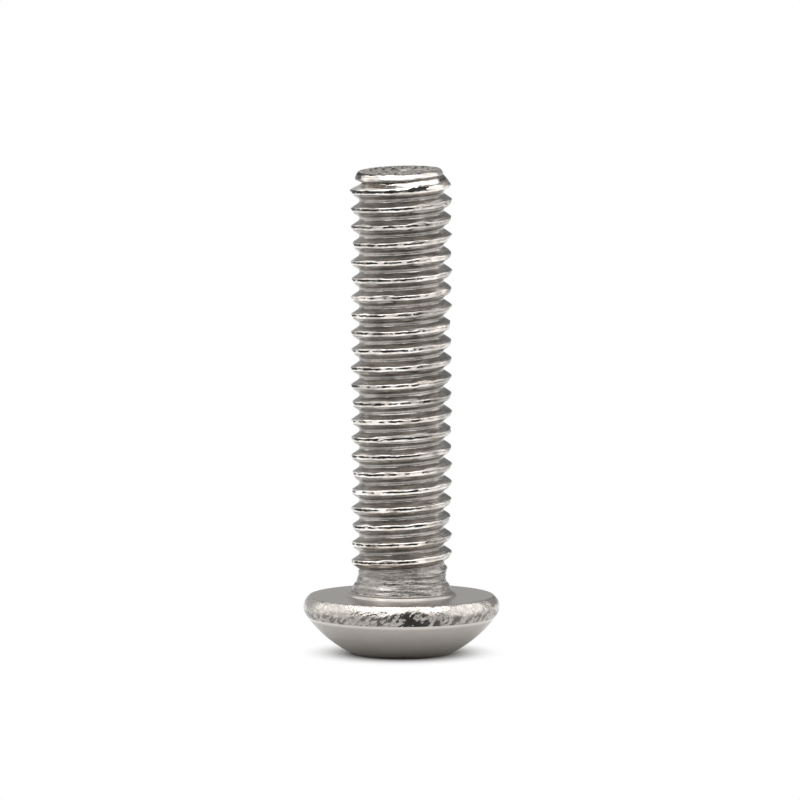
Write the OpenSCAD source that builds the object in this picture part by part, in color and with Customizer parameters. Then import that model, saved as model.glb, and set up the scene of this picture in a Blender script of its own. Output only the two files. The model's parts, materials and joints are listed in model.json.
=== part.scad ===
// Button head socket screw, M3 x 12, standing on its head.
// Origin on the axis at the crown of the head, +Z along the axis to the tip of the shank.

/* [Head] */
// Outer diameter of the head, over the bulge of its rim
head_d = 5.54; // [4.6:0.02:6.7]
// Height of the head, from its crown to its bearing face
head_h = 1.65; // [1.3:0.01:2.2]
// Height of the rim band between the bearing face and the dome
rim_h = 0.54; // [0.44:0.01:0.66]
// Radius of the rim's bulge
rim_r = 0.39; // [0.35:0.01:0.5]
// Depth of the widest part of the rim below the bearing face
rim_widest = 0.32; // [0.2:0.01:0.34]

/* [Socket] */
// Hexagon size across flats
socket_af = 2.03; // [1.6:0.01:2.5]
// Depth of the hexagon's corners below the crown
socket_depth = 1.05; // [0.7:0.01:1.3]
// Width of the countersink outside the hexagon's corners
sink_w = 0.16; // [0.1:0.01:0.3]
// Slope of the countersink, measured from the crown's plane
sink_slope = 36; // [20:1:50]
// Slope of the conical floor, measured from the crown's plane
floor_slope = 20; // [5:1:25]
// Width of the blunt land between the countersink and the dome
land_w = 0.04; // [0.02:0.01:0.2]

/* [Shank] */
// Length from the bearing face to the tip
shank_l = 12; // [6:0.5:30]
// Step from the crests in to the plain neck under the head
neck_step = 0.13; // [0.08:0.01:0.2]
// Length of the neck, from the bearing face to the start of the thread
neck_l = 0.54; // [0.4:0.01:3]
// Radius of the fillet between the neck and the bearing face
fillet_r = 0.25; // [0.1:0.01:0.35]

/* [Thread] */
// Diameter over the crests
thread_d = 2.89; // [2.4:0.01:3.5]
// Advance of the right-hand thread in one turn
pitch = 0.5; // [0.4:0.01:0.6]
// Depth of the groove below the crests
thread_depth = 0.25; // [0.15:0.01:0.3]
// Width of the flat on the crests
crest_w = 0.07; // [0.03:0.01:0.12]
// Width of the flat in the root
root_w = 0.13; // [0.05:0.01:0.16]
// Turns in which the thread rises out of the neck
run_out = 0.6; // [0.3:0.05:0.9]

/* [Tip] */
// Step from the roots in to the edge of the flat end face
tip_step = 0.015; // [0.01:0.005:0.1]
// Half angle of the tip's cone, measured from the axis
tip_angle = 28; // [20:1:45]

/* [Hidden] */
steel = [0.68, 0.66, 0.64];
$fn = 96;
// How far one solid reaches into the next, so that they join or cut cleanly
overlap = 0.05;
// Ledge where the rod leaves the neck, and spacing of the edges that meet the end face
ledge = 0.02;

// Rim: a circle whose widest point lies rim_widest below the bearing face
rim_x = head_d / 2 - rim_r;
rim_z = head_h - rim_widest;
dome_h = head_h - rim_h;
dome_edge_r = rim_x + sqrt(rim_r ^ 2 - (rim_z - dome_h) ^ 2);
// Socket: the countersink clears the hexagon's corners
socket_corner_r = socket_af / 2 / cos(30);
sink_r = socket_corner_r + sink_w;
sink_h = sink_r * tan(sink_slope);
floor_h = socket_corner_r * tan(floor_slope);
// Crown: the land's outer edge, where the dome begins
crown_r = sink_r + land_w;
// Dome: a sphere centred on the axis, through the crown's edge and the rim's lower edge
dome_z = (dome_edge_r ^ 2 - crown_r ^ 2 + dome_h ^ 2) / (2 * dome_h);
dome_r = sqrt(crown_r ^ 2 + dome_z ^ 2);

// Shank: its radii from the crests inwards, and its heights
crest_r = thread_d / 2;
root_r = crest_r - thread_depth;
neck_r = crest_r - neck_step;
tip_r = root_r - tip_step;
neck_top = head_h + neck_l;
tip_z = head_h + shank_l;

// Thread: the ridge is swept along a helix by thread_sides columns a turn
thread_sides = 30;
flank_w = (pitch - crest_w - root_w) / 2;
// Heights of a turn's four edges above its start: root, crest, crest, root
edge_z = [0, flank_w, flank_w + crest_w, 2 * flank_w + crest_w];
edge_r = [root_r, crest_r, crest_r, root_r];
thread_z = neck_top + overlap;
steps = floor((tip_z - thread_z) / pitch * thread_sides);
start_r = neck_r - ledge;

// Share of the full thread form after n steps: none in the neck, all after the run-out
function rise(n) = min(1, n / (run_out * thread_sides));
// The tip's cone, which trims the crests near the end
function cone_r(z) = tip_r + (tip_z - z) * tan(tip_angle);
// Radius of edge k after n steps, at height z. The last step lies on the cone and ends the thread.
function edge_radius(n, k, z) = n == steps
    ? cone_r(z)
    : min(start_r + (edge_r[k] - start_r) * rise(n), cone_r(z));
// Height of edge k after n steps. The end face stops the edges one ledge apart.
function edge_height(n, k) =
    min(thread_z + pitch * n / thread_sides + edge_z[k], tip_z - (4 - k) * ledge);
// A point at step n of the helix
function turned(n, r, z) = let (a = 360 * n / thread_sides) [r * cos(a), r * sin(a), z];
function thread_point(n, k) = let (z = edge_height(n, k)) turned(n, edge_radius(n, k, z), z);

// The dome, its rim and the bearing face, as half of the section on the axis
module head_section() {
    intersection() {
        translate([0, dome_z]) circle(r = dome_r);
        square([dome_edge_r, dome_h]);
    }
    intersection() {
        union() {
            translate([rim_x, rim_z]) circle(r = rim_r);
            translate([0, dome_h]) square([rim_x, rim_h]);
        }
        translate([0, dome_h]) square([head_d, rim_h]);
    }
}

// The neck with its hollow fillet on the bearing face
module neck_section() {
    square([neck_r, neck_top]);
    difference() {
        translate([0, dome_h]) square([neck_r + fillet_r, rim_h + fillet_r]);
        translate([neck_r + fillet_r, head_h + fillet_r]) circle(r = fillet_r);
    }
}

// The hexagon, its countersink and its conical floor
module socket_space() {
    translate([0, 0, -overlap])
        cylinder(r = socket_corner_r, h = socket_depth + overlap, $fn = 6);
    intersection() {
        translate([0, 0, socket_depth]) cylinder(r1 = socket_corner_r, r2 = 0, h = floor_h);
        cylinder(r = socket_corner_r, h = head_h + floor_h, $fn = 6);
    }
    cylinder(r1 = sink_r, r2 = 0, h = sink_h);
}

// The threaded rod: a closed skin over the helix, with a ring of points at each end
module threaded_rod() {
    n_ring = thread_sides;
    rod = [for (n = [0:steps]) for (k = [0:3]) thread_point(n, k)];
    foot = [for (n = [0:n_ring - 1]) turned(n, start_r, neck_top - overlap)];
    tip = [for (n = [0:n_ring - 1]) turned(steps + n, tip_r, tip_z)];
    foot_at = len(rod);
    tip_at = foot_at + n_ring;
    last = steps - n_ring;
    ridge = [for (n = [0:steps - 1]) for (k = [0:2])
        [4 * n + k, 4 * n + k + 1, 4 * n + k + 5, 4 * n + k + 4]];
    root = [for (n = [0:last - 1])
        [4 * n + 3, 4 * (n + n_ring), 4 * (n + n_ring + 1), 4 * n + 7]];
    foot_skirt = [for (n = [0:n_ring - 1])
        [foot_at + n, 4 * n, 4 * n + 4, foot_at + (n + 1) % n_ring]];
    tip_skirt = [for (n = [0:n_ring - 1])
        [4 * (last + n) + 3, tip_at + n, tip_at + (n + 1) % n_ring, 4 * (last + n) + 7]];
    foot_wall = [[4 * n_ring, 3, 2, 1, 0, foot_at]];
    tip_wall = [[4 * last + 3, 4 * steps, 4 * steps + 1, 4 * steps + 2, 4 * steps + 3, tip_at]];
    foot_face = [[for (n = [0:n_ring - 1]) foot_at + n]];
    tip_face = [[for (n = [0:n_ring - 1]) tip_at + n_ring - 1 - n]];
    polyhedron(
        points = concat(rod, foot, tip),
        faces = concat(ridge, root, foot_skirt, tip_skirt, foot_wall, tip_wall, foot_face, tip_face)
    );
}

module screw() {
    color(steel)
    difference() {
        union() {
            rotate_extrude() {
                head_section();
                neck_section();
            }
            threaded_rod();
        }
        socket_space();
    }
}

screw();
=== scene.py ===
# %% [markdown]
# # A button head socket screw
#
# This lesson dresses one small machine screw. A real one starts as steel wire: it is cut off, upset to form
# the domed head, punched for the hexagon socket, and rolled between two dies to raise the thread. Each of
# those steps leaves its own finish, and the lesson follows them one by one.
#
# The measured model of the screw is loaded first, as a fixed frame. Every size below comes from it, from
# its record, or is a named value in millimetres times `MM`.

# %% Load the frame
import json
import math

import bmesh
import bpy
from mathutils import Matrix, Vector, noise


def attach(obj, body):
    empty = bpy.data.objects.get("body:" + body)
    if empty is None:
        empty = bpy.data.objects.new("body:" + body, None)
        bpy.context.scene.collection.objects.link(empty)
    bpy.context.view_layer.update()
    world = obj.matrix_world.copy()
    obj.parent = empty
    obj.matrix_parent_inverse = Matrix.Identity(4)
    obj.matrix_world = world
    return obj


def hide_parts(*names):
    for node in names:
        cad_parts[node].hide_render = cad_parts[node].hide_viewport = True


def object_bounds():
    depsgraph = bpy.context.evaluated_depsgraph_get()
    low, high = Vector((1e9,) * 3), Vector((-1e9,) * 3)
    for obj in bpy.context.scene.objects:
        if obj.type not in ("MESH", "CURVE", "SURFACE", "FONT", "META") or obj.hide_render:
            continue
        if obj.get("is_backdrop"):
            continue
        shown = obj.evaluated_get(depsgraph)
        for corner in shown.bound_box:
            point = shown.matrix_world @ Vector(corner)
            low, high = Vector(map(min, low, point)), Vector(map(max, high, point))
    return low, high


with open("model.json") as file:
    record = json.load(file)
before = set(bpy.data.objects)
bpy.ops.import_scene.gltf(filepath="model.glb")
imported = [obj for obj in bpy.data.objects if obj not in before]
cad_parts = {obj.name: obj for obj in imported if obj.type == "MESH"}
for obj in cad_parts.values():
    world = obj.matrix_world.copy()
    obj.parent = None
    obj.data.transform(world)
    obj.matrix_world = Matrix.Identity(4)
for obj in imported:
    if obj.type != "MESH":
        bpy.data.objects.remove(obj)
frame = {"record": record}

MM = 0.001
cad_low, cad_high = (Vector(corner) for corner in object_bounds())
record = frame["record"]
mounts = {mount["name"]: mount for mount in record["mounts"]}
print("frame box in mm:", [round(x / MM, 3) for x in (*cad_low, *cad_high)])

# %% [markdown]
# ## Sizes
#
# The frame gives the outer sizes: how wide the head is, how far up its bearing face lies, how wide the
# crests are and where the tip ends. The rest are the sizes of a standard M3 x 0.5 screw with a 2 mm socket.

# %% Sizes of the screw
HEAD_R = cad_high.x
HEAD_H = mounts["head_bearing"]["pos_m"][2]
TIP_Z = cad_high.z
CREST_R = mounts["thread"]["dims"]["r_mm"] * MM
PITCH = 0.5 * MM
THREAD_DEPTH = 0.25 * MM
TIP_R = CREST_R - THREAD_DEPTH - 0.015 * MM
TIP_SLOPE = math.tan(math.radians(28))
RIM_R = 0.39 * MM
RIM_WIDEST = 0.32 * MM
RIM_H = 0.54 * MM
SOCKET_R = 2.03 * MM / 2 / math.cos(math.radians(30))
SOCKET_DEPTH = 1.05 * MM
SINK_R = SOCKET_R + 0.16 * MM
SINK_SLOPE = math.tan(math.radians(36))
FLOOR_SLOPE = math.tan(math.radians(20))
CROWN_R = SINK_R + 0.04 * MM
print("head", round(2 * HEAD_R / MM, 2), "mm wide, shank", round((TIP_Z - HEAD_H) / MM, 2), "mm long")

# %% [markdown]
# ## Camera
#
# The photograph was taken with a long lens from far away, so the screw's sides stay parallel. The camera
# looks at the middle of the shank from a little over six degrees above the floor. With a lens this long the
# picture's width is worked out backwards: how many millimetres should fit into the frame at that distance?

# %% Camera
VIEW_WIDTH = 22.6 * MM
VIEW_DISTANCE = 350 * MM
VIEW_ELEVATION = math.radians(6.2)
VIEW_TARGET = Vector((-0.04 * MM, 0, 7.2 * MM))


def look_from(target, distance, azimuth, elevation):
    """A point at a distance from the target. Azimuth 0 is in front, on the -Y side."""
    flat = distance * math.cos(elevation)
    right = flat * math.sin(azimuth)
    back = -flat * math.cos(azimuth)
    return target + Vector((right, back, distance * math.sin(elevation)))


def aim(thing, target):
    """Turns a camera or a lamp so that it looks at the target."""
    thing.rotation_euler = (target - thing.location).to_track_quat("-Z", "Y").to_euler()


camera_data = bpy.data.cameras.new("camera")
camera_data.sensor_width = 36
camera_data.lens = camera_data.sensor_width * VIEW_DISTANCE / VIEW_WIDTH
camera_data.clip_start = 10 * MM
camera_data.clip_end = 10
camera = bpy.data.objects.new("camera", camera_data)
bpy.context.collection.objects.link(camera)
camera.location = look_from(VIEW_TARGET, VIEW_DISTANCE, 0, VIEW_ELEVATION)
aim(camera, VIEW_TARGET)
bpy.context.scene.camera = camera
print("lens", round(camera_data.lens), "mm")

# %% [markdown]
# ## Nodes written as Python
#
# Both the thread and the metal are built from node trees. Wiring them one link at a time is long, so one
# small class wraps a socket and lets Python's own operators add the Math nodes, and a second one adds any
# other node from its type, its settings and the values or links of its sockets.


# %% Wires and graphs
class Wire:
    """An output socket that can be used in Python arithmetic."""

    def __init__(self, graph, socket):
        self.graph = graph
        self.socket = socket

    def __add__(self, other):
        return self.graph.math("ADD", self, other)

    def __radd__(self, other):
        return self.graph.math("ADD", other, self)

    def __sub__(self, other):
        return self.graph.math("SUBTRACT", self, other)

    def __rsub__(self, other):
        return self.graph.math("SUBTRACT", other, self)

    def __mul__(self, other):
        return self.graph.math("MULTIPLY", self, other)

    def __rmul__(self, other):
        return self.graph.math("MULTIPLY", other, self)

    def __truediv__(self, other):
        return self.graph.math("DIVIDE", self, other)

    def __rtruediv__(self, other):
        return self.graph.math("DIVIDE", other, self)


class Graph:
    """Adds nodes to one node tree."""

    def __init__(self, tree):
        self.tree = tree

    def node(self, kind, settings=None, sockets=None, output=0):
        """A node of any type. Settings come first, then the values or links of its input sockets."""
        made = self.tree.nodes.new(kind)
        for name, value in (settings or {}).items():
            setattr(made, name, value)
        for name, value in (sockets or {}).items():
            if isinstance(value, Wire):
                self.tree.links.new(value.socket, made.inputs[name])
            else:
                made.inputs[name].default_value = value
        return Wire(self, made.outputs[output])

    def math(self, operation, *values):
        """A Math node, which takes its values in order."""
        return self.node("ShaderNodeMath", {"operation": operation}, dict(enumerate(values)))

    def step(self, value, low, high):
        """0 where value is under low, 1 where it is over high, and smooth between them."""
        sockets = {"Value": value, "From Min": low, "From Max": high}
        return self.node("ShaderNodeMapRange", {"interpolation_type": "SMOOTHSTEP"}, sockets)

    def hump(self, value, width):
        """1 where value is 0, and falling off smoothly on both sides within about twice the width."""
        across = value / width
        return self.math("EXPONENT", across * across * -1.0)

    def stretch(self, value):
        """Noise keeps close to 0.5. This spreads it over the whole range from 0 to 1."""
        return self.step(value, 0.32, 0.68)

    def attribute(self, name):
        """A value that a mesh keeps at its points."""
        return self.node("ShaderNodeAttribute", {"attribute_name": name}, output="Fac")

    def grain(self, x, y, z, seed, detail=2.0):
        """Noise from 0 to 1 at three coordinates. One unit of a coordinate is about one grain."""
        place = self.node("ShaderNodeCombineXYZ", {}, {"X": x, "Y": y, "Z": z})
        return self.node("ShaderNodeTexNoise", {"noise_dimensions": "4D"},
                         {"Vector": place, "W": seed, "Scale": 1.0, "Detail": detail})


# %% [markdown]
# ## Light
#
# Bright metal has hardly any colour of its own: what is seen is the studio in it. A wide soft box hangs
# overhead and reaches forward, so that every edge which faces up gets a white line. Two more stand at the
# right and the left and light the ends of every crest, and the dim room in front leaves the dark lines in
# the grooves.
#
# The room is a gradient on the world: darker behind the camera, and paler behind the screw. Two gaps in it
# are darker, and a screen at the back right keeps the right-hand ends of the crests from melting into the
# white.

# %% Soft boxes and room
LAMPS = {
    # name: azimuth, elevation, distance, width, height, watts
    "soft_box_top": (-10, 64, 0.45, 0.70, 0.60, 2.45),
    "soft_box_right": (88, 33, 0.50, 0.72, 0.56, 1.35),
    "soft_box_left": (-92, 33, 0.50, 0.72, 0.56, 1.22),
}
ROOM_FRONT = 0.08
ROOM_BACK = 0.53
# How far across the room each gap is, its half width, and how much light it takes
ROOM_GAPS = ((0.16, 0.07, 0.50), (-0.21, 0.05, 0.35))
# Where the screen begins and where it is full, across the room and towards its back
SCREEN_ACROSS = (0.12, 0.26)
SCREEN_BACK = (0.74, 0.84)
SCREEN_SHADE = 0.45


def soft_box(name, azimuth, elevation, distance, width, height, watts):
    """A rectangular lamp that points at the middle of the screw."""
    data = bpy.data.lights.new(name, "AREA")
    data.shape = "RECTANGLE"
    data.size = width
    data.size_y = height
    data.energy = watts
    lamp = bpy.data.objects.new(name, data)
    bpy.context.collection.objects.link(lamp)
    lamp.location = look_from(VIEW_TARGET, distance, math.radians(azimuth), math.radians(elevation))
    aim(lamp, VIEW_TARGET)
    return lamp


for name, values in LAMPS.items():
    soft_box(name, *values)


def room_world():
    """The room's light: one grey behind the camera, another behind the screw, the gaps and the screen."""
    world = bpy.data.worlds.new("room")
    world.use_nodes = True
    g = Graph(world.node_tree)
    direction = g.node("ShaderNodeTexCoord", output="Generated")
    across = g.node("ShaderNodeSeparateXYZ", {}, {"Vector": direction}, output="X")
    backward = g.node("ShaderNodeSeparateXYZ", {}, {"Vector": direction}, output="Y")
    level = ROOM_FRONT + g.step(backward, -0.5, 0.9) * (ROOM_BACK - ROOM_FRONT)
    gaps = 0.0
    for place, half_width, shade in ROOM_GAPS:
        gaps = gaps + g.hump(across - place, half_width) * shade
    screen = g.step(across, *SCREEN_ACROSS) * g.step(backward, *SCREEN_BACK)
    level = level * (1 - gaps) * (1 - screen * SCREEN_SHADE)
    background = world.node_tree.nodes["Background"]
    world.node_tree.links.new(level.socket, background.inputs["Color"])
    return world


bpy.context.scene.world = room_world()
bpy.context.scene.view_settings.view_transform = "Standard"
print(len(LAMPS), "soft boxes")

# %% [markdown]
# ## The rolled thread
#
# A thread is one ridge that climbs a helix, so its shape follows a rule, and Geometry Nodes can write that
# rule down once. A flat grid is bent round the axis: its columns go once round the shank, and its rows
# climb one pitch in a turn, so that each row runs along the ridge. The row's place within a turn says how
# far it is from the crest, and that gives its radius. The first and last columns then meet, one turn apart,
# and are merged.
#
# Rows that would lie below the neck or above the end face are held at that height. They fall together
# there, and the merge leaves one clean ring at each end.
#
# The screw's sizes are inputs of the tree, so the same tree could roll another screw. The wire was cut off
# a little askew, so the end face leans and lies slightly off the axis.

# %% The thread's sizes
NECK_TOP = HEAD_H + 0.40 * MM
NECK_TOP_R = CREST_R - 0.175 * MM
NECK_WAIST_R = CREST_R - 0.225 * MM
TIP_EDGE_R = TIP_R - 0.02 * MM
TIP_LEAN = (0.030, 0.022)
TIP_SHIFT = -0.05 * MM
THREAD_SIZES = {
    "Columns": 132,
    "Rows per turn": 20,
    "Turns": 25,
    "First crest": HEAD_H - 0.283 * MM,
    "Pitch": PITCH,
    "Crest radius": CREST_R,
    "Depth": THREAD_DEPTH,
    "Crest width": 0.08 * MM,
    "Crest lean": 0.016 * MM,
    "Crest slope": 0.50,
    "Flank width": 0.165 * MM,
    "Crest rounding": 0.016 * MM,
    "Root rounding": 0.025 * MM,
    "Wear": 0.075 * MM,
    "Valley depth": 0.020 * MM,
    "Valley width": 0.022 * MM,
    "Nick depth": 0.022 * MM,
    "Nick width": 0.05 * MM,
    "Neck radius": NECK_TOP_R,
    "Waist radius": NECK_WAIST_R,
    "Neck top": NECK_TOP,
    "Run-out foot": HEAD_H + 0.60 * MM,
    "Run-out": 0.25 * MM,
    "Tip height": TIP_Z + 0.065 * MM,
    "Tip radius": TIP_R,
    "Tip edge radius": TIP_EDGE_R,
    "Tip lean right": TIP_LEAN[0],
    "Tip lean back": TIP_LEAN[1],
    "Tip shift": TIP_SHIFT,
    "Tip slope": TIP_SLOPE,
    "Groove end": 0.035 * MM,
    "Groove half width": 0.185 * MM,
    "Groove depth": 0.275 * MM,
    "Lap angle": math.radians(-73),
    "Lap half length": 0.31,
    "Lap half height": 0.062 * MM,
    "Lap depth": 0.04 * MM,
}
faces_in_turn = THREAD_SIZES["Columns"] * THREAD_SIZES["Rows per turn"]
print(len(THREAD_SIZES), "sizes,", faces_in_turn, "faces in a turn")

# %% [markdown]
# The first part of the tree finds out where a point of the flat grid goes: how far round it is, how high
# its row has climbed, how far it lies below the end face, and which crest is its nearest. A small class
# keeps these wires together, so that the rules that follow read like sentences.

# %% Where a point goes
# How closely the rows crowd at the crests and roots, where 0 would space them evenly
CROWDING = 0.7
# Just over a half, so that a row which lies exactly in a root counts to the crest above it in the first
# column and in the last alike
HALF_TURN = 0.501


class OnHelix:
    """The place of a point of the flat grid, once the grid is bent round the axis."""

    def __init__(self, g, size):
        flat = g.node("GeometryNodeInputPosition")
        self.around = g.node("ShaderNodeSeparateXYZ", {}, {"Vector": flat}, output="X") + 0.5
        climb = (g.node("ShaderNodeSeparateXYZ", {}, {"Vector": flat}, output="Y") + 0.5) * size["Turns"]
        self.angle = self.around * (2 * math.pi)
        self.x = g.math("COSINE", self.angle)
        self.y = g.math("SINE", self.angle)

        # The rows crowd where the profile bends
        self.turn = climb - g.math("SINE", climb * (4 * math.pi)) * (CROWDING / (4 * math.pi))
        self.pitches_up = self.turn + self.around
        self.height = size["First crest"] + size["Pitch"] * self.pitches_up
        lean = self.x * size["Tip lean right"] + self.y * size["Tip lean back"]
        self.tip = size["Tip height"] + size["Tip edge radius"] * lean
        self.z = g.math("MINIMUM", g.math("MAXIMUM", self.height, size["Neck top"]), self.tip)
        self.below_tip = self.tip - self.z

        # The nearest crest, and how much of the ridge there is left as it runs out over the neck
        self.above_crest = (g.math("FRACT", self.turn + HALF_TURN) - HALF_TURN) * size["Pitch"]
        self.off_crest = g.math("ABSOLUTE", self.above_crest)
        crest_turn = g.math("FLOOR", self.turn + HALF_TURN)
        self.crest_z = size["First crest"] + size["Pitch"] * (crest_turn + self.around)
        full_at = size["Run-out foot"] + size["Run-out"]
        self.share = g.step(self.crest_z, size["Run-out foot"], full_at)


# %% [markdown]
# The dies don't quite fill a crest: the metal climbs both flanks and closes over a shallow valley with a
# seam in it. Noise along the helix makes the seam come and go, nicks the lips beside it, and leaves some
# stretches of crest a little low. Under the end face, where the thread starts, the metal has lapped over
# once: a short tongue of the crest is folded down.

# %% What the dies leave on a crest
# Depths below the end face between which the valley widens
VALLEY_WIDENS = (0.75 * MM, 0.35 * MM)
SEAM_SWAY = 0.05 * MM


def profile(g, size, at):
    """The radius of the full thread, with its worn stretches of crest."""
    worn = g.step(g.grain(at.x * 1.3, at.y * 1.3, at.pitches_up * 0.9, 3.0), 0.44, 0.66)
    below_edge = g.math("MAXIMUM", size["Crest width"] / 2 - size["Crest lean"] - at.above_crest, 0.0)
    crest = size["Crest radius"] - size["Wear"] * worn - below_edge * size["Crest slope"]
    past_crest = g.math("ABSOLUTE", at.above_crest + size["Crest lean"]) - size["Crest width"] / 2
    flank = size["Crest radius"] - past_crest * size["Depth"] / size["Flank width"]
    root = size["Crest radius"] - size["Depth"]
    rounded = g.math("SMOOTH_MAX", flank, root, size["Root rounding"])
    return g.math("SMOOTH_MIN", rounded, crest, size["Crest rounding"])


def crest_marks(g, size, at):
    """How deep the valley and the nicks are, how open the seam is, and how far above it a point lies."""
    broken = g.grain(at.x * 7, at.y * 7, at.pitches_up * 2.3, 8.0, detail=3.0)
    seam = g.step(broken, 0.34, 0.46)
    sway = (g.grain(at.x * 5, at.y * 5, at.pitches_up * 1.9, 5.0) - 0.5) * SEAM_SWAY
    above_seam = at.above_crest - sway
    width = size["Valley width"] * (1.0 + g.step(at.below_tip, *VALLEY_WIDENS) * 0.7)
    valley = g.hump(above_seam, width) * (0.35 + seam * 0.65) * size["Valley depth"]
    nicks = g.step(g.grain(at.x * 11, at.y * 11, at.pitches_up * 4.1, 11.0), 0.62, 0.74)
    nicks = nicks * g.hump(at.off_crest, size["Nick width"]) * size["Nick depth"]
    return valley + nicks, seam, above_seam


def lap_mask(g, size, at):
    """1 in the middle of the lap, 0 away from it. Its tongue slants up along the crest."""
    from_lap = g.math("WRAP", at.angle - size["Lap angle"], math.pi, -math.pi)
    on_start = g.step(at.below_tip, 0.62 * MM, 0.5 * MM)
    above_lap = at.above_crest - (from_lap * 0.10 + 0.03) * MM
    return g.hump(from_lap, size["Lap half length"]) * on_start * g.hump(above_lap, size["Lap half height"])


# %% [markdown]
# The ridge has two ends. Near the head it fades into the neck, whose waist is thicker than the thread's
# root. At the other end a cone trims it. There the groove beside the first crest is still wide open a third
# of a millimetre below the end face, and closes towards the edge.

# %% The ridge's two ends
# Depths below the end face between which the groove opens
GROOVE_OPENS = (0.10 * MM, 0.36 * MM)
# A crest that lies less than this below the end face follows the cone, first with its upper flank alone
UPPER_ON_CONE = (0.70 * MM, 0.58 * MM)
WHOLE_ON_CONE = (0.22 * MM, 0.12 * MM)
EDGE_SLOPE = 2.0


def faded(g, size, at, full):
    """The full thread's radius where the ridge is whole, and the neck's where it has faded out."""
    root = size["Crest radius"] - size["Depth"]
    on_neck = g.step(at.z, size["Neck top"] + 0.2 * MM, size["Neck top"])
    waist = root + (size["Waist radius"] - root) * (1.0 - at.share)
    waist = waist + (size["Neck radius"] - waist) * on_neck
    return g.math("MAXIMUM", waist, waist + (full - root) * at.share)


def trimmed(g, size, at, shank, lap):
    """The radius once the tip's cone has trimmed the shank, with the groove that closes on the cone."""
    cone = size["Tip radius"] + at.below_tip * size["Tip slope"]
    plain = g.math("SMOOTH_MIN", shank, cone, 0.02 * MM)
    opening = g.step(at.below_tip, *GROOVE_OPENS)
    half_width = size["Groove end"] + (size["Groove half width"] - size["Groove end"]) * opening
    depth = size["Groove end"] + (size["Groove depth"] - size["Groove end"]) * opening
    from_root = g.math("ABSOLUTE", size["Pitch"] / 2 - at.off_crest)
    groove = g.math("MAXIMUM", 1.0 - from_root / half_width, 0.0) * depth
    crest_below = at.tip - at.crest_z
    upper = g.step(crest_below, *UPPER_ON_CONE) * g.step(at.above_crest, -0.01 * MM, 0.015 * MM)
    on_cone = g.math("MAXIMUM", upper, g.step(crest_below, *WHOLE_ON_CONE))
    grooved = g.math("MINIMUM", cone, size["Crest radius"] + 0.015 * MM) - groove
    radius = plain + (grooved - plain) * on_cone - lap * size["Lap depth"]
    edge = size["Tip edge radius"] + at.below_tip * EDGE_SLOPE
    radius = g.math("SMOOTH_MIN", radius, edge, 0.008 * MM)
    past_tip = g.math("GREATER_THAN", at.height, at.tip)
    return radius + (size["Tip edge radius"] - radius) * past_tip


# %% [markdown]
# Now the tree itself. What the metal will need to know about a point is stored while the grid is still
# flat, because the rules read the flat grid's positions: how far above the seam the point lies, in
# millimetres, and how near it is to an open seam and to the lap. Then the grid is bent, welded and given
# its material.

# %% The thread's tree
WELD = 0.002 * MM


def thread_tree(sizes):
    """Builds the Geometry Nodes tree of the threaded shank."""
    tree = bpy.data.node_groups.new("rolled_thread", "GeometryNodeTree")
    for name, value in sizes.items():
        kind = "NodeSocketInt" if isinstance(value, int) else "NodeSocketFloat"
        tree.interface.new_socket(name, in_out="INPUT", socket_type=kind)
    tree.interface.new_socket("Material", in_out="INPUT", socket_type="NodeSocketMaterial")
    tree.interface.new_socket("Geometry", in_out="OUTPUT", socket_type="NodeSocketGeometry")
    g = Graph(tree)
    group = tree.nodes.new("NodeGroupInput")
    size = {socket.name: Wire(g, socket) for socket in group.outputs if socket.name}

    # A flat grid of side 1: x goes round the shank, y climbs it
    grid = g.node("GeometryNodeMeshGrid", {}, {
        "Size X": 1.0,
        "Size Y": 1.0,
        "Vertices X": size["Columns"] + 1,
        "Vertices Y": size["Rows per turn"] * size["Turns"] + 1,
    })
    at = OnHelix(g, size)
    pressed, seam, above_seam = crest_marks(g, size, at)
    lap = lap_mask(g, size, at)
    shank = faded(g, size, at, profile(g, size, at) - pressed)
    radius = trimmed(g, size, at, shank, lap)

    noted = grid
    notes = {"above_seam": above_seam / MM, "seam": seam * at.share, "lap": lap}
    for name, value in notes.items():
        noted = g.node("GeometryNodeStoreNamedAttribute", {"data_type": "FLOAT", "domain": "POINT"},
                       {"Geometry": noted, "Name": name, "Value": value})
    shift = size["Tip shift"] * g.step(at.below_tip, 0.5 * MM, 0.1 * MM)
    place = g.node("ShaderNodeCombineXYZ", {}, {
        "X": at.x * radius + shift,
        "Y": at.y * radius,
        "Z": at.z,
    })
    bent = g.node("GeometryNodeSetPosition", {}, {"Geometry": noted, "Position": place})
    merged = g.node("GeometryNodeMergeByDistance", {}, {"Geometry": bent, "Distance": WELD})
    smooth = g.node("GeometryNodeSetShadeSmooth", {}, {"Geometry": merged})
    real = g.node("GeometryNodeRealizeInstances", {}, {"Geometry": smooth})
    painted = g.node("GeometryNodeSetMaterial", {}, {"Geometry": real, "Material": size["Material"]})
    result = tree.nodes.new("NodeGroupOutput")
    tree.links.new(painted.socket, result.inputs["Geometry"])
    return tree


thread_nodes = thread_tree(THREAD_SIZES)
print(len(thread_nodes.nodes), "nodes in the thread's tree")

# %% [markdown]
# ## Metal
#
# All of the screw is one warm grey steel. What differs is how each stretch was last worked, so every finish
# is a function that returns three things at a point: how bright the steel is there, how rough, and how high
# its surface stands, in millimetres. One builder turns those into a material. The height goes through a
# Bump node whose distance is a millimetre, so a ripple of two micrometres is written as `0.002`.
#
# Where the tone is nearly black, mostly where shade is painted, in the seams, the lap, the groove and the
# rim's pits, the surface is no metal and mirrors little, so the Metallic value falls with the tone, and the
# specular level is low.

# %% From a finish to a material
STEEL = (0.56, 0.525, 0.49, 1)
# Below the first tone the surface is a dark non-metal, mostly painted shade, and above the second only
# metal
METAL_FROM = (0.05, 0.22)
DARK_TONE_SPECULAR = 0.15


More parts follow.
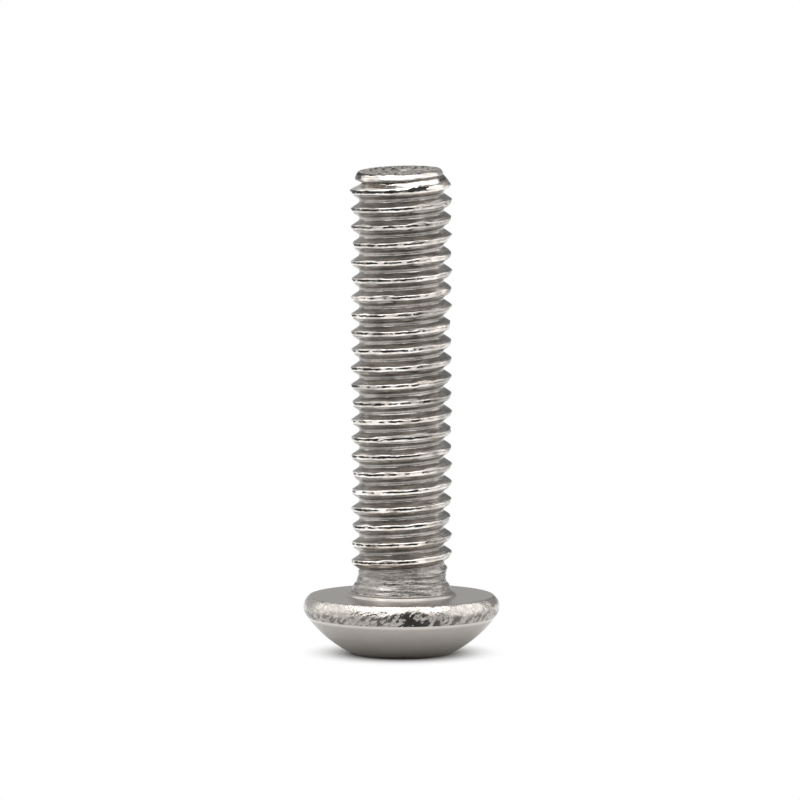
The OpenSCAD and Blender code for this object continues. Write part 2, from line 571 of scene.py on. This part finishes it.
class Spot:
    """Where a shader stands on the screw: x, y, z and the distance to the axis, in millimetres."""

    def __init__(self, g):
        place = g.node("ShaderNodeTexCoord", output="Object")
        self.x = g.node("ShaderNodeSeparateXYZ", {}, {"Vector": place}, output="X") * (1 / MM)
        self.y = g.node("ShaderNodeSeparateXYZ", {}, {"Vector": place}, output="Y") * (1 / MM)
        self.z = g.node("ShaderNodeSeparateXYZ", {}, {"Vector": place}, output="Z") * (1 / MM)
        self.r = g.math("SQRT", self.x * self.x + self.y * self.y)

    def grain(self, g, along, up, seed, detail=2.0):
        """Noise with so many grains to the millimetre along x and y, and up z."""
        return g.grain(self.x * along, self.y * along, self.z * up, seed, detail)


def steel(name, finish):
    """A steel material from a finish, a function that returns tone, roughness and height."""
    material = bpy.data.materials.new(name)
    material.use_nodes = True
    tree = material.node_tree
    g = Graph(tree)
    tone, roughness, height = finish(g, Spot(g))
    colour = g.node("ShaderNodeMix", {"data_type": "RGBA", "blend_type": "MULTIPLY"},
                    {0: 1.0, 6: STEEL, 7: tone}, output=2)
    metallic = g.step(tone, *METAL_FROM)
    normal = g.node("ShaderNodeBump", {}, {"Height": height, "Distance": MM, "Strength": 1.0})
    shader = tree.nodes["Principled BSDF"]
    shader.inputs["Specular IOR Level"].default_value = DARK_TONE_SPECULAR
    wires = {"Base Color": colour, "Metallic": metallic, "Roughness": roughness, "Normal": normal}
    for socket, value in wires.items():
        tree.links.new(value.socket, shader.inputs[socket])
    return material


# %% [markdown]
# Close to the head the dies only graze the wire. The neck keeps coarse marks, scored round and round, and
# looks dull beside the thread. Some stretches of it are scored deeper than others, and the corner at its
# foot is darkened in blotches with painted shade. Noise that is long round the axis and fine along it draws
# such marks.


# %% Scored, for the neck
# Height of the painted shade in the corner at the neck's foot, and its half width
NECK_CORNER_Z = HEAD_H / MM + 0.125
CORNER_SHADE_HALF_WIDTH = 0.022


def scored(g, spot):
    """Dull, with short broken scores that run round the neck, deeper in some stretches, and painted shade
    in the corner at its foot.
    """
    scores = g.stretch(spot.grain(g, 1.5, 17.0, 12.0, detail=3.0))
    streaks = g.stretch(spot.grain(g, 1.7, 14.0, 15.0, detail=2.0))
    blotches = g.stretch(spot.grain(g, 6.0, 9.0, 14.0))
    deep = g.stretch(spot.grain(g, 0.9, 1.6, 13.0) + spot.x * 0.05)
    # Painted shade in the corner at the neck's foot, broken up by blotches
    corner_shade = g.hump(spot.z - NECK_CORNER_Z, CORNER_SHADE_HALF_WIDTH) * g.step(blotches, 0.35, 0.65)
    tone = 0.55 + (streaks - 0.5) * (0.26 + deep * 0.46) + blotches * 0.14
    tone = tone * (1 - corner_shade * 0.75)
    roughness = 0.20 + blotches * 0.10
    height = scores * (0.006 + deep * 0.022) + blotches * 0.005
    return tone, roughness, height


# %% [markdown]
# The dies press the thread out of the wire and drag along it, so its flanks carry fine lines that follow
# the helix. Every point of one such line has the same distance to the axis, so noise over that distance
# draws them without any unwrapping. The two lips of a crest are burnished smoother, and their bright lines
# are painted highlights in the tone. The seam between them is painted nearly black, a painted shade for the
# shadow in its narrow valley. On the right side, where the right soft box lights the crests, this painted
# shade and the painted highlights are weaker. A thin dark line of painted shade runs under the lower lip,
# and the roots are a little darker with painted shade.
#
# The cone of the tip is burnished too, and its bright band is a painted highlight. A dark line of painted
# shade shows where the groove begins on it, with a painted dark corner at one end, and on the other side a
# burr was pressed flat and stayed dull. The lap's fold is painted black, a painted shade. Towards the neck
# the thread's finish gives way to the neck's.


# %% Rolled, for the thread
END_Z = TIP_Z / MM
ROOT_FROM_CREST = PITCH / MM / 2
# Heights in millimetres between which each mark comes in
NEAR_TIP = (END_Z - 0.75, END_Z - 0.45)
ON_CONE = (END_Z - 0.56, END_Z - 0.42)
AT_END = (END_Z - 0.42, END_Z - 0.32)
BY_BURR = (END_Z - 0.32, END_Z - 0.20)
BY_NECK = (NECK_TOP / MM + 0.55, NECK_TOP / MM + 0.25)


def painted_seam_shade(g, above, broken, pits, lit_right, near_tip):
    """1 where the seam's painted shade lies, in the gap between the two lips. It comes and goes, is widest
    near the tip, and is weaker on the lit right side.
    """
    half_gap = 0.021 + broken * 0.020 + near_tip * 0.012
    gap = g.step(g.math("ABSOLUTE", above - (pits - 0.5) * 0.016), half_gap, half_gap - 0.010)
    open_seam = g.step(broken, 0.12, 0.24) * (0.35 + g.attribute("seam") * 0.65)
    return gap * g.math("MAXIMUM", open_seam, near_tip * 0.9) * (1 - lit_right * 0.7)


def rolled(g, spot):
    """Lines along the helix, painted highlights on the crest lips and painted black shade in the seam
    between them.
    """
    above = g.attribute("above_seam")
    off_seam = g.math("ABSOLUTE", above)
    lines = g.stretch(g.grain(spot.x * 1.3, spot.y * 1.3, spot.r * 15 + spot.z * 1.2, 2.0))
    patches = g.stretch(spot.grain(g, 2.2, 5.0, 6.0))
    worn = g.stretch(spot.grain(g, 1.4, 2.2, 7.0, detail=4.0))
    pits = g.stretch(spot.grain(g, 9.0, 12.0, 9.0))
    broken = g.stretch(spot.grain(g, 2.6, 1.6, 3.0, detail=4.0))
    # 1 on the right side, lit by the right soft box, where the painted shade in the seam and the painted
    # highlights on the lips are weaker
    lit_right = g.step(spot.x + (patches - 0.5) * 0.5, 0.45, 0.95)
    at_end = g.step(spot.z, *AT_END)

    # Painted black shade: the seam's narrow valley, and the fold of the lap beside the thread's start
    seam = painted_seam_shade(g, above, broken, pits, lit_right, g.step(spot.z, *NEAR_TIP))
    lap = g.step(g.attribute("lap") + (pits - 0.5) * 0.3 + (broken - 0.5) * 0.3, 0.38, 0.52)
    black = g.math("MAXIMUM", seam, lap)

    # Painted shade: where the groove begins and a dark corner at its end. Dull: the burr on the other side
    groove_line_shade = g.hump(off_seam - ROOT_FROM_CREST, 0.040) * at_end
    corner = g.step(spot.x, 1.00, 1.10) * g.hump(above - 0.16, 0.075) * at_end
    groove_start_shade = g.math("MAXIMUM", groove_line_shade * 0.85, corner * 0.97)
    burr = g.step(spot.x + pits * 0.10, -0.98, -1.12) * g.step(spot.z, *BY_BURR)

    # Painted highlights: the lips and the cone, which are burnished smoother as well
    lip = g.step(g.math("ABSOLUTE", above + 0.012), 0.075, 0.060)
    lip = lip * (0.30 + worn * 0.70) * (1 - lit_right * 0.40)
    cone = g.step(spot.z, *ON_CONE) * (0.55 + worn * 0.45)
    lip = g.math("MAXIMUM", lip, cone) * (1 - groove_line_shade)
    # Painted shade: a thin line under the lower lip, and a little in the roots
    under = g.hump(above + 0.088, 0.014) * (0.35 + worn * 0.65)
    root = g.step(off_seam, 0.15, 0.22) * (1 - at_end)

    tone = (0.54 + lines * 0.38) * (0.79 + patches * 0.28) * (1 + lip * 1.9) * (1 - black * 0.98)
    tone = tone * (1 - under * 0.50) * (1 - root * 0.12)
    tone = tone * (1 - groove_start_shade) * (1 - burr * 0.75)
    roughness = 0.17 + lines * 0.05 - lip * 0.10 + black * 0.3
    height = lines * 0.006 + pits * 0.0010 - black * 0.008

    # Towards the neck each of the three turns into the neck's
    share = g.step(spot.z, *BY_NECK)
    mixed = []
    for own, other in zip((tone, roughness, height), scored(g, spot)):
        mixed.append(own + (other - own) * share)
    return tuple(mixed)


# %% [markdown]
# The die that closes on the head presses its own smooth face into the dome and the bearing face. They come
# out satin: hardly any relief, but enough fine grain to blur what they mirror.


# %% Struck, for the dome and the bearing face
DOME_TOP_Z = (HEAD_H - RIM_H) / MM - 0.07
# Heights between which the painted highlight at the dome's edge comes in and goes out
HIGHLIGHT_COMES = (DOME_TOP_Z - 0.09, DOME_TOP_Z - 0.01)
HIGHLIGHT_GOES = (DOME_TOP_Z + 0.1, DOME_TOP_Z + 0.05)


def struck(g, spot):
    """Satin, with a very fine grain and a slow change of tone, and a painted highlight where the dome meets
    the rim.
    """
    grain = spot.grain(g, 24.0, 24.0, 17.0)
    cloud = spot.grain(g, 1.4, 1.4, 18.0)
    # A painted highlight where the dome meets the rim
    edge = g.step(spot.z, *HIGHLIGHT_COMES) * g.step(spot.z, *HIGHLIGHT_GOES)
    tone = 0.68 + grain * 0.16 + cloud * 0.20 + edge * 0.44
    roughness = 0.24 + cloud * 0.10
    height = grain * 0.0022 + cloud * 0.012
    return tone, roughness, height


# %% [markdown]
# Between those two faces the metal flows out free, with no die against it. That rim is bright, lumpy like
# orange peel and finely specked. Its lower half is torn with pits, and is darker: the darkening and the
# pits' near-black tone are painted shade, heaviest at the front, where they also stand for a painted dark
# reflection.


# %% Free, for the rim
# Below this height the rim is pitted and darkened with painted shade
RIM_SHADE_AND_PITS_Z = (HEAD_H - RIM_WIDEST) / MM


def free(g, spot):
    """Bright and dimpled, with a torn band along the lower half that is darkened with painted shade, most
    at the front.
    """
    dimples = g.stretch(spot.grain(g, 6.0, 9.0, 21.0, detail=3.0))
    specks = g.stretch(spot.grain(g, 15.0, 18.0, 25.0))
    tears = g.stretch(g.grain(spot.x * 7 - spot.z * 5, spot.y * 6, spot.z * 5, 23.0, detail=5.0))
    reach = g.stretch(spot.grain(g, 0.9, 0.9, 24.0))
    # Painted shade over the lower half of the rim and on its pits, strongest at the front, where it stands
    # for a dark reflection
    front_shade = g.hump(spot.x - 0.3, 0.9) * g.step(spot.y, 0.0, -1.5)
    low = g.step(RIM_SHADE_AND_PITS_Z - spot.z + reach * 0.10 + front_shade * 0.19, 0.0, 0.16)
    torn = low * g.step(tears + specks * 0.16 + front_shade * 0.24, 0.52, 0.80) * (0.50 + front_shade * 0.44)
    shade = 1 - low * (0.25 + tears * 0.15)
    tone = (1.05 + dimples * 0.30 - specks * 0.22) * shade * (1 - torn)
    roughness = 0.10 + torn * 0.15
    height = dimples * (0.006 + low * 0.014) + tears * low * 0.022 + specks * 0.0035
    return tone, roughness, height


# %% [markdown]
# The end face is where the wire was cut off. It is the roughest place on the screw: torn across in the
# direction in which the blade went, with one scratch near its middle, smoother than the rest and brightened
# by a painted highlight.


# %% Sheared, for the end face
def sheared(g, spot):
    """Rough and grey, torn along one direction, with a scratch brightened by a painted highlight."""
    torn = g.stretch(g.grain(spot.x * 5.0 + spot.y * 0.8, spot.y * 3.0, 0.0, 31.0, detail=4.0))
    pits = g.stretch(g.grain(spot.x * 9.0, spot.y * 3.0, 0.0, 33.0, detail=3.0))
    # The scratch is smoother and tilted, and its tone carries a painted highlight
    scratch = g.hump(spot.x - 0.12 - spot.y * 0.35, 0.09) * g.hump(spot.y + 0.1, 0.35)
    specks = g.step(pits + torn * 0.4 - spot.y * 0.10, 0.42, 0.30)
    tone = (0.36 + torn * 0.40 + pits * 0.50 + scratch * 0.9) * (1 - specks * 0.95)
    roughness = 0.28 - scratch * 0.14 + specks * 0.4
    height = torn * 0.13 + pits * 0.05 + scratch * spot.y * 0.35
    return tone, roughness, height


# %% [markdown]
# The punch scrapes down the walls of the socket and leaves lines along its travel. They are noise that is
# fine across the screw's axis and long along it.


# %% Punched, for the socket
def punched(g, spot):
    """Lines down the walls, and a rougher floor darkened with painted shade."""
    scrapes = g.grain(spot.x * 16, spot.y * 16, spot.z * 1.2, 41.0)
    grain = spot.grain(g, 14.0, 14.0, 43.0)
    # The socket's floor: rougher, and darker with painted shade
    deep = g.step(spot.z, SOCKET_DEPTH / MM - 0.15, SOCKET_DEPTH / MM + 0.02)
    tone = 0.58 + scrapes * 0.50 - deep * 0.18
    roughness = 0.20 + grain * 0.14 + deep * 0.12
    height = scrapes * 0.012 + grain * 0.005
    return tone, roughness, height


FINISHES = {
    "rolled": rolled,
    "scored": scored,
    "struck": struck,
    "free": free,
    "sheared": sheared,
    "punched": punched,
}
metals = {name: steel(name + "_steel", finish) for name, finish in FINISHES.items()}
SLOT = {name: index for index, name in enumerate(FINISHES)}
print(len(metals), "finishes of one steel")

# %% [markdown]
# ## From the tree to a mesh
#
# The modifier's inputs are set by the sockets' identifiers, before the object is looked at for the first
# time. The evaluated result becomes a plain mesh, and the object that carried the modifier goes.


# %% The threaded shank as a mesh
def grown(name, tree, sizes, material):
    """The plain mesh that a tree makes."""
    seed = bpy.data.meshes.new(name)
    carrier = bpy.data.objects.new(name, seed)
    bpy.context.collection.objects.link(carrier)
    modifier = carrier.modifiers.new(name, "NODES")
    modifier.node_group = tree
    inputs = [item for item in tree.interface.items_tree if item.in_out == "INPUT"]
    identifiers = {item.name: item.identifier for item in inputs}
    for input_name, value in sizes.items():
        modifier[identifiers[input_name]] = value
    modifier[identifiers["Material"]] = material
    bpy.context.view_layer.update()
    evaluated = carrier.evaluated_get(bpy.context.evaluated_depsgraph_get())
    mesh = bpy.data.meshes.new_from_object(evaluated)
    bpy.data.objects.remove(carrier)
    bpy.data.meshes.remove(seed)
    return mesh


thread_mesh = grown("threaded_shank", thread_nodes, THREAD_SIZES, metals["rolled"])
print("thread:", len(thread_mesh.vertices), "vertices,", len(thread_mesh.polygons), "faces")

# %% [markdown]
# ## The head in section
#
# The head is round, so its shape is one line in section: down the neck, which flares out, over the small
# bead at its foot, out over the bearing face, round the rim, and in over the dome to the crown. Arcs and
# straight stretches describe the head with a handful of sizes. The flare and the bead are what the heading
# tool leaves where the wire came out of it. They follow no arc, so they are written as points: a radius and
# a height above the bearing face, in millimetres.


# %% The outer section, stretch by stretch
def arc(centre, radius, start, end, count):
    """Points (r, z) on an arc, with the angles in degrees from the horizontal."""
    points = []
    for i in range(count + 1):
        turn = math.radians(start + (end - start) * i / count)
        points.append((centre[0] + radius * math.cos(turn), centre[1] + radius * math.sin(turn)))
    return points


def line(start, end, count):
    """Evenly spaced points (r, z) on a line."""
    return [
        (start[0] + (end[0] - start[0]) * i / count, start[1] + (end[1] - start[1]) * i / count)
        for i in range(count + 1)
    ]


NECK_FLARE = [(1.338, 0.33), (1.368, 0.27), (1.390, 0.20), (1.410, 0.135), (1.418, 0.115)]
FOOT_BEAD = [
    (1.430, 0.102), (1.475, 0.090), (1.505, 0.076),
    (1.528, 0.054), (1.540, 0.028), (1.545, 0.005),
]
EDGE = 0.02 * MM
FACE_STEPS = 8
RIM_STEPS = 22
DOME_STEPS = 36
RIM_CENTRE = (HEAD_R - RIM_R, HEAD_H - RIM_WIDEST)
DOME_H = HEAD_H - RIM_H
RIM_TOP = math.degrees(math.asin(RIM_WIDEST / RIM_R))
RIM_END = -math.degrees(math.asin((RIM_CENTRE[1] - DOME_H) / RIM_R))
DOME_EDGE_R = RIM_CENTRE[0] + RIM_R * math.cos(math.radians(RIM_END))
DOME_Z = (DOME_EDGE_R ** 2 - CROWN_R ** 2 + DOME_H ** 2) / (2 * DOME_H)
DOME_R = math.hypot(CROWN_R, DOME_Z)


def outer_section():
    """The stretches from the neck to the crown, each with its finish and its points (r, z)."""
    bearing_r = RIM_CENTRE[0] + RIM_R * math.cos(math.radians(RIM_TOP))
    neck = [(NECK_TOP_R, NECK_TOP)] + [(r * MM, HEAD_H + z * MM) for r, z in NECK_FLARE]
    bead = [(r * MM, HEAD_H + z * MM) for r, z in FOOT_BEAD]
    dome_start = -math.degrees(math.asin((DOME_Z - DOME_H) / DOME_R))
    dome_end = -math.degrees(math.asin(DOME_Z / DOME_R))
    face = line((bead[-1][0] + EDGE, HEAD_H), (bearing_r - EDGE, HEAD_H), FACE_STEPS)
    face += [(bearing_r - 0.3 * EDGE, HEAD_H - 0.12 * EDGE)]
    rim = arc(RIM_CENTRE, RIM_R, RIM_TOP - 3, RIM_END + 2, RIM_STEPS)
    dome = arc((0, DOME_Z), DOME_R, dome_start, dome_end, DOME_STEPS)
    rough = [point for point in dome if point[1] > DOME_TOP_Z * MM]
    return [
        ("scored", neck),
        ("struck", bead + face),
        ("free", rim + rough),
        ("struck", dome[len(rough):]),
    ]


print(sum(len(points) for finish, points in outer_section()), "rings outside")

# %% [markdown]
# ## The socket in section
#
# The socket's section changes with the direction, because a hexagon is nearer to the axis at the middle of
# a side than at a corner. Each ring therefore asks how far the hexagon's side is in its own direction. The
# countersink meets the sides in the curved edge that a cone cuts on a hexagon, and the floor is a shallow
# cone too.


# %% The socket's section
def hexagon_r(angle):
    """Distance from the axis to the hexagon's side in a direction. A corner lies at angle 0."""
    inner = SOCKET_R * math.cos(math.radians(30))
    return inner / math.cos(angle % math.radians(60) - math.radians(30))


def socket_section(hex_r):
    """Points (r, z) from the crown to the socket's middle, where the hexagon's radius is hex_r."""
    lip = (SINK_R - hex_r) * SINK_SLOPE
    foot = SOCKET_DEPTH + (SOCKET_R - hex_r) * FLOOR_SLOPE
    apex = SOCKET_DEPTH + SOCKET_R * FLOOR_SLOPE
    bevel = 0.6 * EDGE
    centre_r = 0.06 * MM
    points = [(SINK_R + 0.3 * EDGE, 0), (SINK_R - 0.3 * EDGE, 0.3 * EDGE * SINK_SLOPE)]
    points += line((SINK_R - EDGE, EDGE * SINK_SLOPE), (hex_r + bevel, lip - bevel * SINK_SLOPE), 4)
    points += line((hex_r, lip + bevel), (hex_r, foot - bevel), 8)
    floor_edge = (hex_r - bevel, foot + bevel * FLOOR_SLOPE)
    points += line(floor_edge, (centre_r, apex - centre_r * FLOOR_SLOPE), 8)
    return points


# As many rings as the section has points, in any direction
SOCKET_RINGS = len(socket_section(SOCKET_R))
print(SOCKET_RINGS, "rings in the socket")

# %% [markdown]
# ## One closed body
#
# The parts of the screw are one piece of steel, so they become one mesh. It starts as the thread's mesh,
# and rings of vertices carry on from the thread's own last ring: down the neck, over the head and into the
# socket. At the neck each column splits in two, because the wide head needs more of them. The end face is
# a set of rings too, which lies on the thread's top ring.


# %% Rings and skins
HEAD_COLUMNS = 2 * THREAD_SIZES["Columns"]


def ring(bm, columns, section_at):
    """One ring of vertices. section_at gives (r, z) for a column's angle."""
    made = []
    for i in range(columns):
        angle = 2 * math.pi * i / columns
        r, z = section_at(angle)
        made.append(bm.verts.new((r * math.cos(angle), r * math.sin(angle), z)))
    return made


def face_of(bm, corners, finish):
    """A smooth face with the slot of its finish."""
    face = bm.faces.new(corners)
    face.material_index = SLOT[finish]
    face.smooth = True


def skin(bm, upper, lower, finish):
    """Faces between two rings with as many vertices, upper and then lower along the section."""
    for i in range(len(upper)):
        j = (i + 1) % len(upper)
        face_of(bm, (upper[j], upper[i], lower[i], lower[j]), finish)


def split_skin(bm, upper, lower, finish):
    """Faces from a ring to one with twice as many vertices."""
    for i in range(len(upper)):
        j = (i + 1) % len(upper)
        a, b, c = lower[2 * i], lower[2 * i + 1], lower[2 * j]
        for corners in ((upper[j], upper[i], b), (upper[i], a, b), (upper[j], b, c)):
            face_of(bm, corners, finish)


# %% [markdown]
# The head is drawn ring by ring, from the thread's lowest ring to the socket's floor, and each face gets
# the slot of the finish that its stretch has. The end face is drawn from its edge to its middle. It leans a
# little and lies slightly off the axis, because the wire was cut off askew.

# %% The head and the end face
END_RINGS = 14


def add_head(bm):
    """The neck, the head and the socket."""
    stretches = [(finish, point) for finish, points in outer_section() for point in points]
    previous = ring(bm, THREAD_SIZES["Columns"], lambda angle: stretches[0][1])
    joined = split_skin
    for finish, point in stretches[1:]:
        current = ring(bm, HEAD_COLUMNS, lambda angle: point)
        joined(bm, previous, current, finish)
        joined = skin
        previous = current
    for k in range(SOCKET_RINGS):
        current = ring(bm, HEAD_COLUMNS, lambda angle: socket_section(hexagon_r(angle))[k])
        skin(bm, previous, current, "punched")
        previous = current
    face_of(bm, previous, "punched")


def end_height(x, y):
    """Height of the end face, which leans a little because the wire was cut off slightly askew."""
    return THREAD_SIZES["Tip height"] + TIP_LEAN[0] * x + TIP_LEAN[1] * y


def add_end_face(bm):
    """Rings from the tip's edge to its middle."""
    previous = None
    for k in range(END_RINGS):
        r = TIP_EDGE_R * (1 - k / END_RINGS)
        current = ring(bm, THREAD_SIZES["Columns"],
                       lambda angle: (r, end_height(r * math.cos(angle), r * math.sin(angle))))
        for vertex in current:
            vertex.co.x += TIP_SHIFT
        if previous:
            skin(bm, current, previous, "sheared")
        previous = current
    face_of(bm, previous, "sheared")


# %% [markdown]
# ## Marks that show in the outline
#
# Bump only bends the light. The rim's lumps, the scores of the neck and the tears of the end face are large
# enough to show against the background, so they move the vertices as well, along their normals. The noise
# fades to nothing at the edge of each zone, so that the crisp edges beside it stay where they are.


# %% Lumps, scores and tears
RIM_LUMPS = 0.011 * MM
NECK_SCORES = 0.010 * MM
NECK_ZONE_R = 1.5
END_TEARS = 0.030 * MM


def ramp(value, low, high):
    """0 under low, 1 over high, straight between them."""
    return min(1, max(0, (value - low) / (high - low)))


def layered(coarse, fine, share):
    """Broad noise with a share of fine noise on it, at two places in the noise."""
    return noise.noise(Vector(coarse)) + share * noise.noise(Vector(fine))


def relief(place):
    """How far a point of the surface is moved along its normal."""
    x, y, z = place / MM
    r = math.hypot(x, y)
    top = HEAD_H / MM
    bottom = DOME_H / MM
    if r > RIM_CENTRE[0] / MM and z > bottom:
        fade = ramp(top - z, 0.03, 0.10) * ramp(z - bottom, 0.0, 0.05)
        lump = layered((x * 3.6, y * 3.6, z * 4.5), (x * 8, y * 8, z * 9 + 7), 0.5)
        return RIM_LUMPS * fade * lump
    if top + 0.05 < z < NECK_TOP / MM and r < NECK_ZONE_R:
        fade = ramp(z, top + 0.05, top + 0.15) * ramp(NECK_TOP / MM - z, 0.01, 0.04)
        score = layered((x * 1.7, y * 1.7, z * 13), (x * 5, y * 5, z * 20 + 9), 0.5)
        return NECK_SCORES * fade * score
    r = math.hypot(x - TIP_SHIFT / MM, y)
    if z > TIP_Z / MM - 0.01 and r < TIP_EDGE_R / MM - 0.01:
        fade = ramp(TIP_EDGE_R / MM - r, 0.02, 0.12)
        tear = layered((x * 3.5, y * 2.5, 3), (x * 8, y * 6, 5), 0.7)
        return END_TEARS * fade * tear
    return 0


SAME_PLACE = 0.0005 * MM


def screw_mesh():
    """Joins the thread, the head and the end face into one closed mesh."""
    bm = bmesh.new()
    bm.from_mesh(thread_mesh)
    for face in bm.faces:
        face.material_index = SLOT["rolled"]
    add_head(bm)
    add_end_face(bm)
    bmesh.ops.remove_doubles(bm, verts=bm.verts, dist=SAME_PLACE)
    bm.normal_update()
    for vertex, normal in [(vertex, vertex.normal.copy()) for vertex in bm.verts]:
        vertex.co += normal * relief(vertex.co)
    print("open edges:", sum(len(edge.link_faces) != 2 for edge in bm.edges))
    mesh = bpy.data.meshes.new("screw_body")
    bm.to_mesh(mesh)
    bm.free()
    return mesh


# %% [markdown]
# The mesh becomes one object, which takes the place of the measured screw: the measured piece is hidden,
# and the new object rides on the frame's root body.

# %% The screw
body_mesh = screw_mesh()
for name in FINISHES:
    body_mesh.materials.append(metals[name])
screw = bpy.data.objects.new("screw_body", body_mesh)
bpy.context.collection.objects.link(screw)
body_mesh.calc_loop_triangles()
print("triangles:", len(body_mesh.loop_triangles))
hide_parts("screw")
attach(screw, "root")

# %% [markdown]
# ## Floor
#
# The screw stands on a plain pale floor. Near the screw the floor is grey paint, so that the contact shadow
# falls on it and shows in the dome; the grey is also a painted shadow pool, darker than the white further
# out even where no shadow falls. Further out it is plain white for the camera and for the reflections,
# which Light Path tells apart from the light that the floor sends back. The camera looks along the floor
# and sees only a thin ring of the grey pool and the shadow, but the dome mirrors a wider piece of them.

# %% Floor
FLOOR_HALF = 1.5
# Grey of the painted shadow pool near the screw, on which the real contact shadow falls
SHADOW_POOL_COLOUR = (0.74, 0.74, 0.74, 1)
SEEN_FADE = (1.3 * MM, 3.0 * MM)
MIRRORED_FADE = (1.8 * MM, 4.2 * MM)


def floor_material():
    """Grey paint near the screw, a painted shadow pool that also takes the real shadow, fading to plain
    white away from it.
    """
    material = bpy.data.materials.new("floor_paint")
    material.use_nodes = True
    tree = material.node_tree
    tree.nodes.remove(tree.nodes["Principled BSDF"])
    g = Graph(tree)
    place = g.node("ShaderNodeTexCoord", output="Object")
    distance = g.node("ShaderNodeVectorMath", {"operation": "LENGTH"}, {0: place}, output="Value")
    seen = g.node("ShaderNodeLightPath", output="Is Camera Ray") * g.step(distance, *SEEN_FADE)
    mirrored = g.math("MAXIMUM", g.node("ShaderNodeLightPath", output="Is Glossy Ray"),
                      g.node("ShaderNodeLightPath", output="Is Transmission Ray"))
    whiteness = g.math("MAXIMUM", seen, mirrored * g.step(distance, *MIRRORED_FADE))
    # The painted shadow pool near the screw, lit by the lamps
    paint = g.node("ShaderNodeBsdfDiffuse", {}, {"Color": SHADOW_POOL_COLOUR}, output="BSDF")
    white = g.node("ShaderNodeEmission", {}, {"Strength": 1.0}, output="Emission")
    mixed = g.node("ShaderNodeMixShader", {}, {0: whiteness, 1: paint, 2: white})
    tree.links.new(mixed.socket, tree.nodes["Material Output"].inputs["Surface"])
    return material


floor_mesh = bpy.data.meshes.new("floor")
corners = [(x * FLOOR_HALF, y * FLOOR_HALF, 0) for x, y in ((-1, -1), (1, -1), (1, 1), (-1, 1))]
floor_mesh.from_pydata(corners, [], [(0, 1, 2, 3)])
floor_mesh.materials.append(floor_material())
floor = bpy.data.objects.new("floor", floor_mesh)
bpy.context.collection.objects.link(floor)
floor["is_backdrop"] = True
